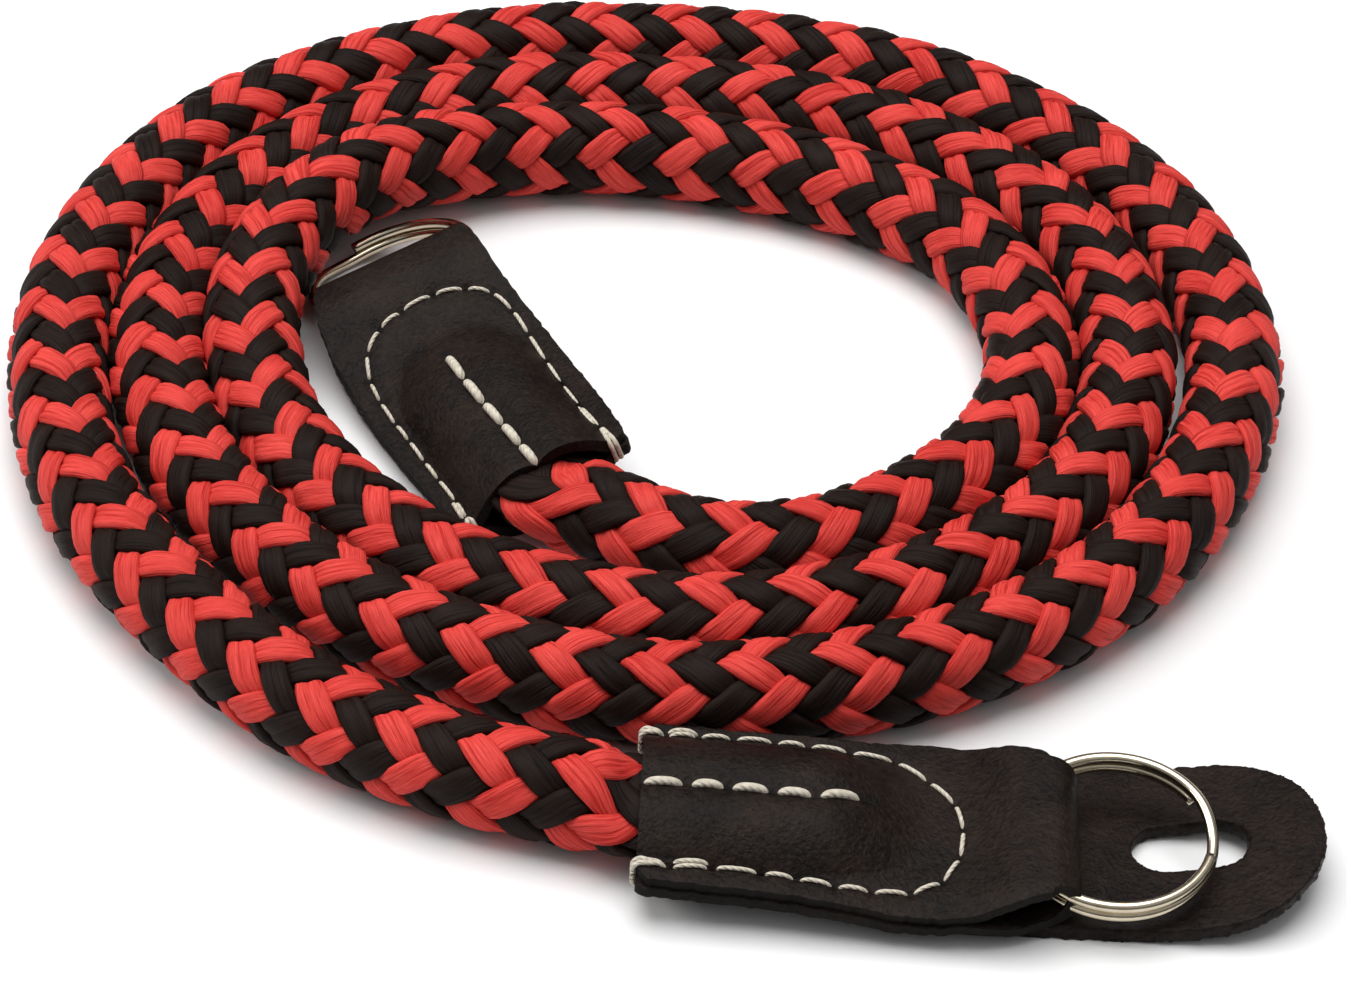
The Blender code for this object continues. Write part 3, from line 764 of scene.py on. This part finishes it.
def split_ring(name, end, centre, height, pitch, roll, start, node):
    """centre is measured along and across from the mouth; pitch, roll and start are in degrees."""
    turns = np.linspace(0.0, RING_TURNS, RING_STEPS)
    angle = 2 * math.pi * turns + math.radians(start)
    step = COIL_STEP * (ease((turns - 1) / COIL_CROSSING + 1) - 0.5)
    round_wire = np.arange(16) * math.pi / 8
    grow = RING_RADIUS + WIRE / 2 * np.cos(round_wire)[None, :]
    x = grow * np.cos(angle)[:, None]
    y = grow * np.sin(angle)[:, None]
    z = step[:, None] + WIRE / 2 * np.sin(round_wire)[None, :]
    a, b = math.radians(pitch), math.radians(roll)
    y, z = y * math.cos(b) - z * math.sin(b), y * math.sin(b) + z * math.cos(b)
    x, z = x * math.cos(a) - z * math.sin(a), x * math.sin(a) + z * math.cos(a)
    rings = in_end(end["mouth"], end["turn"], np.stack([x + centre[0], y + centre[1], z + height], axis=-1))
    piece = skin(name, [rings], nickel)
    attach(piece, "root")
    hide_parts(node)


split_ring("split_ring_front", front_end, (42.4, -0.4), 4.85, 1.4, 7.0, 34.0, "ring_front")
split_ring("split_ring_inner", inner_end, (40.0, -0.8), 4.2, -17.0, -15.5, 56.0, "ring_inner")

# Flap
# A leather tongue with a punched slot, which lies under the outer ring and keeps it off the
# camera. Its edge is rough and its tip curls up.

CURL_START = 42.0
CURL_REACH = 16.4
CURL_RISE = 2.7
CURL_DRAW = 0.4
FLAP_NECK = 52.0
NECK_TAPER = 0.9
NECK_DEPTH = 10.0
NECK_LENGTH = 20.0
RIM_SLOPE = 0.75
bpy.ops.object.select_all(action="DESELECT")
flap = frame["nodes"]["flap_front"].copy()
flap.data = flap.data.copy()
flap.name = "flap"
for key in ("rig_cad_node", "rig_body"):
    del flap[key]
flap.parent = None
bpy.context.scene.collection.objects.link(flap)
bpy.context.view_layer.objects.active = flap
flap.select_set(True)
flap.data.materials.clear()
flap.data.materials.append(hide)
bpy.ops.object.mode_set(mode="EDIT")
bpy.ops.mesh.select_all(action="SELECT")
bpy.ops.mesh.remove_doubles(threshold=0.00001)
bpy.ops.object.mode_set(mode="OBJECT")
voxels = flap.modifiers.new("cells", "REMESH")
voxels.mode = "VOXEL"
voxels.voxel_size = 0.00024
bpy.ops.object.modifier_apply(modifier="cells")
relax = flap.modifiers.new("soft edges", "SMOOTH")
relax.factor = 0.5
relax.iterations = 3
bpy.ops.object.modifier_apply(modifier="soft edges")
points = np.empty(len(flap.data.vertices) * 3)
flap.data.vertices.foreach_get("co", points)
points = points.reshape(-1, 3)
beside = in_end(FRONT_MOUTH, FRONT_TURN, (FLAP_NECK, 0.0, 0.0))[:2] * MM
share = np.clip((beside[1] - points[:, 1]) / (NECK_DEPTH * MM), 0.0, 1.0)
points[:, 1] += NECK_TAPER * MM * share * ease((beside[0] - points[:, 0]) / (NECK_LENGTH * MM))
start = in_end(FRONT_MOUTH, FRONT_TURN, (CURL_START, 0.0, 0.0))[0]
curled = np.clip((points[:, 0] / MM - start) / CURL_REACH, 0.0, 1.1)
points[:, 0] -= CURL_DRAW * MM * curled**2
points[:, 2] += CURL_RISE * MM * curled**1.9
flap.data.vertices.foreach_set("co", points.ravel())
rim = flap.vertex_groups.new(name="rim")
for vertex in flap.data.vertices:
    if abs(vertex.normal.z) < RIM_SLOPE:
        rim.add([vertex.index], 1.0, "REPLACE")
rough_cut = bpy.data.textures.new("rough cut", "CLOUDS")
rough_cut.noise_scale = 0.0007
rough_cut.noise_depth = 3
cut = flap.modifiers.new("rough cut", "DISPLACE")
cut.texture = rough_cut
cut.vertex_group = "rim"
cut.strength = 0.0005
bpy.ops.object.modifier_apply(modifier="rough cut")
bpy.ops.object.shade_smooth()
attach(flap, "root")
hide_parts("flap_front")

# Room
# A plain pale floor under a wide soft light, with a second one on the left. The world is bright
# above and dark at the sides, so that the rings have something to reflect.

floor_paint, sockets, make = finish("pale floor", 0.85)
sockets["Base Color"].default_value = (0.84, 0.84, 0.84, 1)
bpy.ops.object.select_all(action="DESELECT")
bpy.ops.mesh.primitive_plane_add(size=6.0, location=(0.0, 0.0, 0.0))
floor = bpy.context.object
floor.name = "floor"
floor.data.materials.append(floor_paint)

for name, place, size, power in (
    ("overhead", (-0.1, 0.12, 1.0), 1.0, 11.0),
    ("left", (-1.0, 0.1, 0.6), 0.5, 4.0),
):
    bpy.ops.object.light_add(type="AREA", location=place)
    lamp = bpy.context.object
    lamp.name = name
    lamp.data.shape = "DISK"
    lamp.data.size = size
    lamp.data.energy = power
    lean = math.atan2(math.hypot(place[0], place[1]), place[2])
    lamp.rotation_euler = (lean, 0.0, math.atan2(place[1], place[0]) + math.pi / 2)
room = bpy.data.worlds.new("room")
room.use_nodes = True
make = Shade(room.node_tree)
upward = make.add("SeparateXYZ", {}, {0: make.add("TexCoord", output=0)}, 2)
walls = {"stops": ((0.0, (0.08, 0.08, 0.08, 1)), (0.3, (0.22, 0.22, 0.22, 1)), (0.9, (1.0, 1.0, 1.0, 1)))}
link(upward.add("ValToRGB", walls, {0: upward}), room.node_tree.nodes["Background"].inputs["Color"])
room.node_tree.nodes["Background"].inputs["Strength"].default_value = 0.6
bpy.context.scene.world = room
bpy.context.scene.view_settings.view_transform = "Standard"
